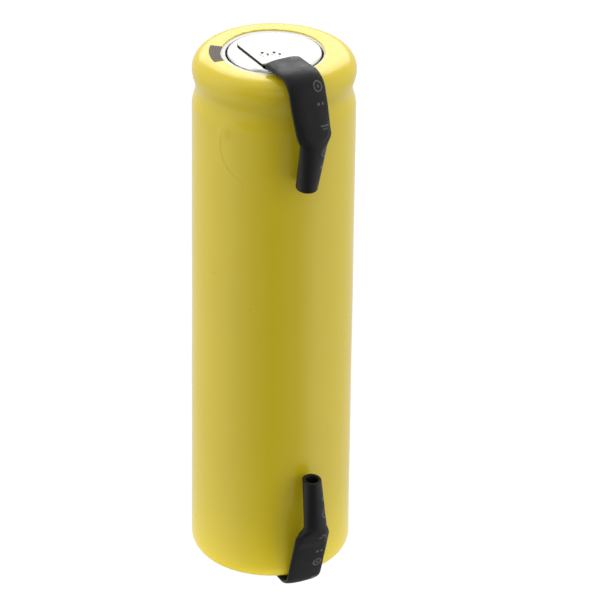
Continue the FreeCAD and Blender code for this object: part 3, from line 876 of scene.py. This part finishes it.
def tag_strip(name, tag, tag_node, arm_node):
    line = strip_line(tag)
    lengths = lengths_along(line)
    sections = [strip_section(half, STRIP / 2, STRIP_POINTS) for half in strip_half_width(lengths)]
    rings = [ring_across(*each) for each in zip(line, directions(line), sections)]
    columns = len(sections[0])
    first = 0 if tag["outwards"] > 0 else STRIP_POINTS + STRIP_EDGE_POINTS
    outer = slice(first, first + STRIP_POINTS)
    # Painted shade on every point but the outer face's; the outer face gets only the darker weld walls,
    # and a quarter of the shade at its edges.
    painted_shade_and_welds = np.ones((len(rings), columns))
    for at, ring, worn in zip(line, rings, painted_shade_and_welds):
        dent, darker_walls = weld_marks(ring[outer, 0], ring[outer, 1], tag)
        welded = at[0] < tag["hinge_x"]
        ring[outer, 2] += tag["outwards"] * dent * welded
        worn[outer] = darker_walls * welded
        worn[[first, first + STRIP_POINTS - 1]] = 0.25
    painted_shade_and_welds[0], painted_shade_and_welds[-1] = 1.0, 1.0
    faces = grid_faces(len(rings), columns, False)
    faces.append(tuple(range(columns))[::-1])
    faces.append(tuple(range((len(rings) - 1) * columns, len(rings) * columns)))
    points = placed(np.concatenate(rings), tag)
    piece = mesh_piece(name, points, faces, MATERIALS["nickel_strip"])
    lay_uvs(piece, "strip_painted_shade_and_welds", np.column_stack((painted_shade_and_welds.ravel(), np.repeat(lengths / UV_MM, columns))))
    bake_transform(piece)
    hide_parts(tag_node, arm_node)


def lay_uvs(piece, name, by_vertex):
    """UV map with one place for each vertex."""
    layer = piece.data.uv_layers.new(name=name)
    corners = np.zeros(len(piece.data.loops), int)
    piece.data.loops.foreach_get("vertex_index", corners)
    layer.data.foreach_set("uv", by_vertex[corners].astype(np.float32).ravel())


def tube_line(tag):
    rise_end, corner = np.array(tag["rise"][1]), np.array(tag["corner"])
    reach = (tag["mouth_x"] - rise_end[0]) / (corner - rise_end)[0]
    mouth = rise_end + (corner - rise_end) * reach
    corners = [(*mouth, 0), (*corner, tag["corner_r"]), (*tag["kink"], KINK_R), (*tag["free_end"], 0)]
    return rounded_line(corners, 0.1, 4.0)


def tube_section(tag, length, kink_at, depth):
    """Section at a length along the tube; depth is 0 on its outside and 1 in its bore."""
    before, after = tag["narrowing"]
    narrow = float(smooth(kink_at - before, kink_at + after, length))
    taper = float(np.clip((length - kink_at) / (tag["length"] - kink_at), 0, 1))
    flare = TUBE_MOUTH_FLARE * (1 - float(smooth(0.0, 1.1, length)))
    end_r = tag["end_r"]
    width, width_at_kink = tag["half_width"]
    width += (width_at_kink - width) * float(smooth(kink_at - 2.5, kink_at, length))
    flat = np.array((width, tag["half_height"] + flare, TUBE_FLAT_POWER))
    neck = np.array((tag["neck_half_width"], end_r ** 2 / tag["neck_half_width"], 2.0))
    outside = flat + (neck + (np.array((end_r, end_r, 2.0)) - neck) * taper - flat) * narrow
    wall = TUBE_WALL + (end_r - TUBE_BORE_R - TUBE_WALL) * narrow
    power = TUBE_BORE_POWER + (2.0 - TUBE_BORE_POWER) * narrow
    bore = np.array((outside[0] - wall, outside[1] - wall, power))
    return even_section(*(outside + (bore - outside) * depth), TUBE_POINTS)


def strip_end_relief(across, length, kink_at):
    """Skin over the strip's rounded end, standing proud where the strip still backs the tube."""
    reach = np.clip(1 - (across / (STRIP_WIDTH / 2 + 0.05)) ** 2, 0, 1) ** 0.5
    edge = kink_at - 0.55 + 1.05 * reach
    backed = 1 - smooth(edge - 0.10, edge + 0.22, length)
    starts = smooth(kink_at - 1.8, kink_at - 0.6, length)
    return 0.13 * backed * starts * smooth(STRIP_WIDTH / 2 + 0.15, STRIP_WIDTH / 2 - 0.35, np.abs(across))


def tag_sway(tag, length, kink_at):
    """How far the round part stands to one side of the flat part."""
    turned = float(smooth(kink_at - 0.4, kink_at + 0.9, length))
    taper = float(np.clip((length - kink_at) / (tag["length"] - kink_at), 0, 1))
    return turned * (tag["neck_sway"] + (tag["end_sway"] - tag["neck_sway"]) * taper)


def tube_rows(last):
    """(length, depth) of each ring: along the outside, round the free edge, back and round the mouth."""
    rows = [(length, 0.0) for length in np.arange(TUBE_EDGE, last - TUBE_EDGE, TUBE_STEP)]
    lip = [math.radians(angle) for angle in range(0, 91, 30)]
    share = TUBE_EDGE / TUBE_WALL
    rows += [(last - TUBE_EDGE * (1 - math.sin(a)), share * (1 - math.cos(a))) for a in lip]
    rows += [(last - TUBE_EDGE * (1 - math.sin(a)), 1 - share * (1 - math.cos(a))) for a in lip[::-1]]
    rows += [(length, 1.0) for length in np.arange(last - TUBE_EDGE - TUBE_STEP, TUBE_EDGE, -TUBE_STEP)]
    rows += [(TUBE_EDGE * (1 - math.sin(a)), 1 - share * (1 - math.cos(a))) for a in lip]
    rows += [(TUBE_EDGE * (1 - math.sin(a)), share * (1 - math.cos(a))) for a in lip[::-1]]
    return rows


def kink_length(line, tag):
    lengths = lengths_along(line)
    return lengths[np.argmin(np.linalg.norm(line - np.array(tag["kink"]), axis=1))]


def tag_tube(name, tag, tube_node, lug):
    line = tube_line(tag)
    lengths = lengths_along(line)
    kink_at = kink_length(line, tag)
    tag["length"] = lengths[-1]
    rows = tube_rows(lengths[-1])
    rings, uvs = [], []
    for length, depth in rows:
        section = tube_section(tag, length, kink_at, depth)
        uvs.append(print_uvs(tag, section, length, depth))
        section[:, 0] += tag_sway(tag, length, kink_at)
        proud = strip_end_relief(section[:, 0], length, kink_at) * (1 - min(1.0, depth * 2))
        section[:, 1] += np.sign(section[:, 1]) * proud
        rings.append(tube_ring(tag, line, lengths, length, section))
    points = placed(np.concatenate(rings), tag)
    points += skin_ripple(points, TUBE_RIPPLE)
    faces = grid_faces(len(rows), TUBE_POINTS, True)
    piece = mesh_piece(name, points, faces, MATERIALS["shrink_tube"])
    lay_uvs(piece, "tube_print", np.concatenate(uvs))
    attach(piece, lug)
    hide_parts(tube_node)


def print_uvs(tag, section, length, depth):
    """Places on the printed side start at 0; the side towards the cell and the bore stay clear of it."""
    behind = np.where(section[:, 1] * tag["outwards"] > 0, 0.0, 1.0)
    across = section[:, 0] / UV_MM + behind + 2 * (depth > 0.5)
    return np.column_stack((across, np.full(TUBE_POINTS, length / UV_MM)))


def tube_ring(tag, line, lengths, length, section):
    """Ring at a length. Towards the free end it leans, for an end that is cut aslant."""
    ways = (line, directions(line))
    at, along = [np.array([np.interp(length, lengths, way[:, i]) for i in (0, 1)]) for way in ways]
    along /= np.linalg.norm(along)
    inward = 0.5 - tag["outwards"] * section[:, 1:2] / (2 * tag["end_r"])
    lean = tag["end_slant"] * smooth(lengths[-1] - SLANT_LENGTH, lengths[-1], length)
    return ring_across(at, along, section, lean * inward)


RIPPLE_SEED = 5


def skin_ripple(points, height):
    """Slight unevenness of a hand-shrunk tube, the same on every run."""
    noise.seed_set(RIPPLE_SEED)
    shift = [noise.noise_vector(Vector(point) * 0.9) for point in points]
    return np.array(shift) * height


# Nodes of the frame

def finish_nodes():
    """A material for every node, by its slot in the record."""
    slots = {part["node"]: part["material_slot"] for part in frame["record"]["subparts"]}
    for name, part in frame["nodes"].items():
        part.data.materials.clear()
        part.data.materials.append(MATERIALS[slots[name]])


# Camera, floor and light

def camera():
    azimuth, elevation = math.radians(VIEW_AZIMUTH), math.radians(VIEW_ELEVATION)
    flat = math.cos(elevation)
    back = Vector((math.sin(azimuth) * flat, -math.cos(azimuth) * flat, math.sin(elevation)))
    data = bpy.data.cameras.new("camera")
    data.lens = LENS
    data.sensor_width = SENSOR
    data.shift_x, data.shift_y = SHIFT
    data.clip_start, data.clip_end = 0.01, 20.0
    made = bpy.data.objects.new("camera", data)
    made.location = (Vector(LOOK_AT) + back * VIEW_DISTANCE) * MM
    made.rotation_mode = "QUATERNION"
    roll = Quaternion((0, 0, 1), math.radians(VIEW_ROLL))
    made.rotation_quaternion = (-back).to_track_quat("-Z", "Y") @ roll
    bpy.context.scene.collection.objects.link(made)
    bpy.context.scene.camera = made


FLOOR_DROP = 8.0
FLOOR_HALF = 3000.0
FLOOR_STRENGTH = 1.02


def floor():
    """Pale, evenly lit floor, low enough for the lower tag to bend down to its limit."""
    z = CAD_LOW.z / MM - FLOOR_DROP
    corners = [(x * FLOOR_HALF, y * FLOOR_HALF, z) for x, y in ((-1, -1), (1, -1), (1, 1), (-1, 1))]
    material, tree = new_material("pale_floor")
    tree.nodes.remove(tree.nodes["Principled BSDF"])
    lit = node(tree, "Emission", {"Color": rgb(1.0, 1.0, 1.0), "Strength": FLOOR_STRENGTH}).outputs[0]
    clear = node(tree, "BsdfTransparent").outputs[0]
    below = node(tree, "NewGeometry").outputs["Backfacing"]
    shown = node(tree, "MixShader", {0: below, 1: lit, 2: clear}).outputs[0]
    tree.links.new(shown, tree.nodes["Material Output"].inputs["Surface"])
    made = stage_piece("floor", corners, [(0, 1, 2, 3)], material)
    made.visible_diffuse = False


def stage_piece(name, points, faces, material):
    """Part of the set. It shows in no reflection and throws no shadow."""
    mesh = bpy.data.meshes.new(name)
    mesh.from_pydata((np.asarray(points) * MM).tolist(), [], faces)
    mesh.materials.append(material)
    made = bpy.data.objects.new(name, mesh)
    made.visible_glossy = False
    made.visible_shadow = False
    bpy.context.scene.collection.objects.link(made)
    return made


SKY_AZIMUTHS = (-180, -120, -90, -65, -40, 0, 40, 65, 90, 120, 180)
SKY = {
    "low": (0.70, 0.85, 1.05, 1.12, 0.66, 0.12, 0.44, 1.24, 1.08, 0.80, 0.70),
    "mid": (0.60, 0.95, 1.52, 1.36, 0.08, 0.00, 0.28, 1.48, 1.15, 0.90, 0.60),
    "high": (0.80, 1.05, 1.50, 1.02, 0.34, 0.05, 0.05, 0.60, 1.10, 1.05, 0.80),
    "under": 0.35,
    "overhead": 0.85,
}
SKY_MOST = 2.0
PANELS = [
    {"azimuth": 180, "half_width": 34, "elevation": (12, 56), "strength": 2.3},
    {"azimuth": 0, "half_width": 30, "elevation": (12, 48), "strength": 0.5},
]
GLOW_R = (7.3, 11.5)
GLOW_DROP = 0.3
GLOW_STRENGTH = 1.6
GLOW_SIDES = 48


def studio():
    """Soft light from all round, strong behind and at the sides, with strengths by direction."""
    world = bpy.data.worlds.new("studio")
    world.use_nodes = True
    tree = world.node_tree
    towards = node(tree, "TexCoord").outputs["Generated"]
    azimuth = math.radians(VIEW_AZIMUTH)
    front = (math.sin(azimuth), -math.cos(azimuth), 0.0)
    right = (math.cos(azimuth), math.sin(azimuth), 0.0)
    facing = node(tree, "VectorMath", {0: towards, 1: front}, operation="DOT_PRODUCT").outputs["Value"]
    sideways = node(tree, "VectorMath", {0: towards, 1: right}, operation="DOT_PRODUCT").outputs["Value"]
    turn = calc(tree, "ARCTAN2", sideways, facing)
    around = calc(tree, "ADD", calc(tree, "DIVIDE", turn, 2 * math.pi), 0.5)
    height = node(tree, "SeparateXYZ", {0: towards}).outputs[2]
    low, mid, high = [strength_around(tree, around, SKY[name]) for name in ("low", "mid", "high")]
    total = mixed(tree, ramp(tree, height, -0.85, -0.55), SKY["under"], low)
    total = mixed(tree, ramp(tree, height, -0.08, 0.08), total, mid)
    total = mixed(tree, ramp(tree, height, 0.50, 0.68), total, high)
    total = mixed(tree, ramp(tree, height, 0.80, 0.94), total, SKY["overhead"])
    for panel in PANELS:
        total = calc(tree, "ADD", total, soft_panel(tree, turn, height, panel))
    background = tree.nodes["Background"]
    tree.links.new(total, background.inputs["Strength"])
    background.inputs["Color"].default_value = rgb(1.0, 1.0, 1.0)
    bpy.context.scene.world = world


def soft_panel(tree, turn, height, panel):
    """Wide soft panel. The one behind the cell is what its top reflects."""
    off = calc(tree, "SUBTRACT", turn, math.radians(panel["azimuth"]))
    edges = [math.cos(math.radians(panel["half_width"] + spare)) for spare in (10, -10)]
    sideways = ramp(tree, calc(tree, "COSINE", off), *edges)
    bottom, top = [math.sin(math.radians(angle)) for angle in panel["elevation"]]
    across = calc(tree, "MULTIPLY", sideways, band(tree, height, bottom, top, 0.08))
    return calc(tree, "MULTIPLY", across, panel["strength"])


def strength_around(tree, around, strengths):
    """Strength at each of SKY_AZIMUTHS, with even slopes between them."""
    made = node(tree, "ValToRGB", {0: around})
    stops = made.color_ramp.elements
    for azimuth in SKY_AZIMUTHS[1:-1]:
        stops.new((azimuth + 180) / 360)
    for stop, strength in zip(stops, strengths):
        stop.color = rgb(*[strength / SKY_MOST] * 3)
    return calc(tree, "MULTIPLY", made.outputs[0], SKY_MOST)


def table_glow():
    """Light thrown back up by the table close round the cell's foot, as a ring that isn't seen."""
    angles = np.linspace(0, 2 * math.pi, GLOW_SIDES, endpoint=False)
    height = np.full(GLOW_SIDES, CAD_LOW.z / MM - GLOW_DROP)
    rings = [np.column_stack((np.cos(angles) * r, np.sin(angles) * r, height)) for r in GLOW_R]
    faces = [face[::-1] for face in grid_faces(len(rings), GLOW_SIDES, False)]
    material, tree = new_material("table_glow")
    tree.nodes.remove(tree.nodes["Principled BSDF"])
    lit = node(tree, "Emission", {"Strength": GLOW_STRENGTH}).outputs[0]
    tree.links.new(lit, tree.nodes["Material Output"].inputs["Surface"])
    made = stage_piece("table_glow", np.concatenate(rings), faces, material)
    made.visible_camera = False


finish_nodes()
outer_sleeve()
steel_can()
top_washer()
positive_cap()
vent_spring()
tag_strip("positive_tag_strip", TOP_TAG, "positive_tag", "positive_tag_arm")
tag_tube("positive_tag_tube", TOP_TAG, "positive_tube", "positive_lug")
tag_strip("negative_tag_strip", BOTTOM_TAG, "negative_tag", "negative_tag_arm")
tag_tube("negative_tag_tube", BOTTOM_TAG, "negative_tube", "negative_lug")
camera()
floor()
studio()
table_glow()
bpy.context.scene.view_settings.view_transform = "Standard"
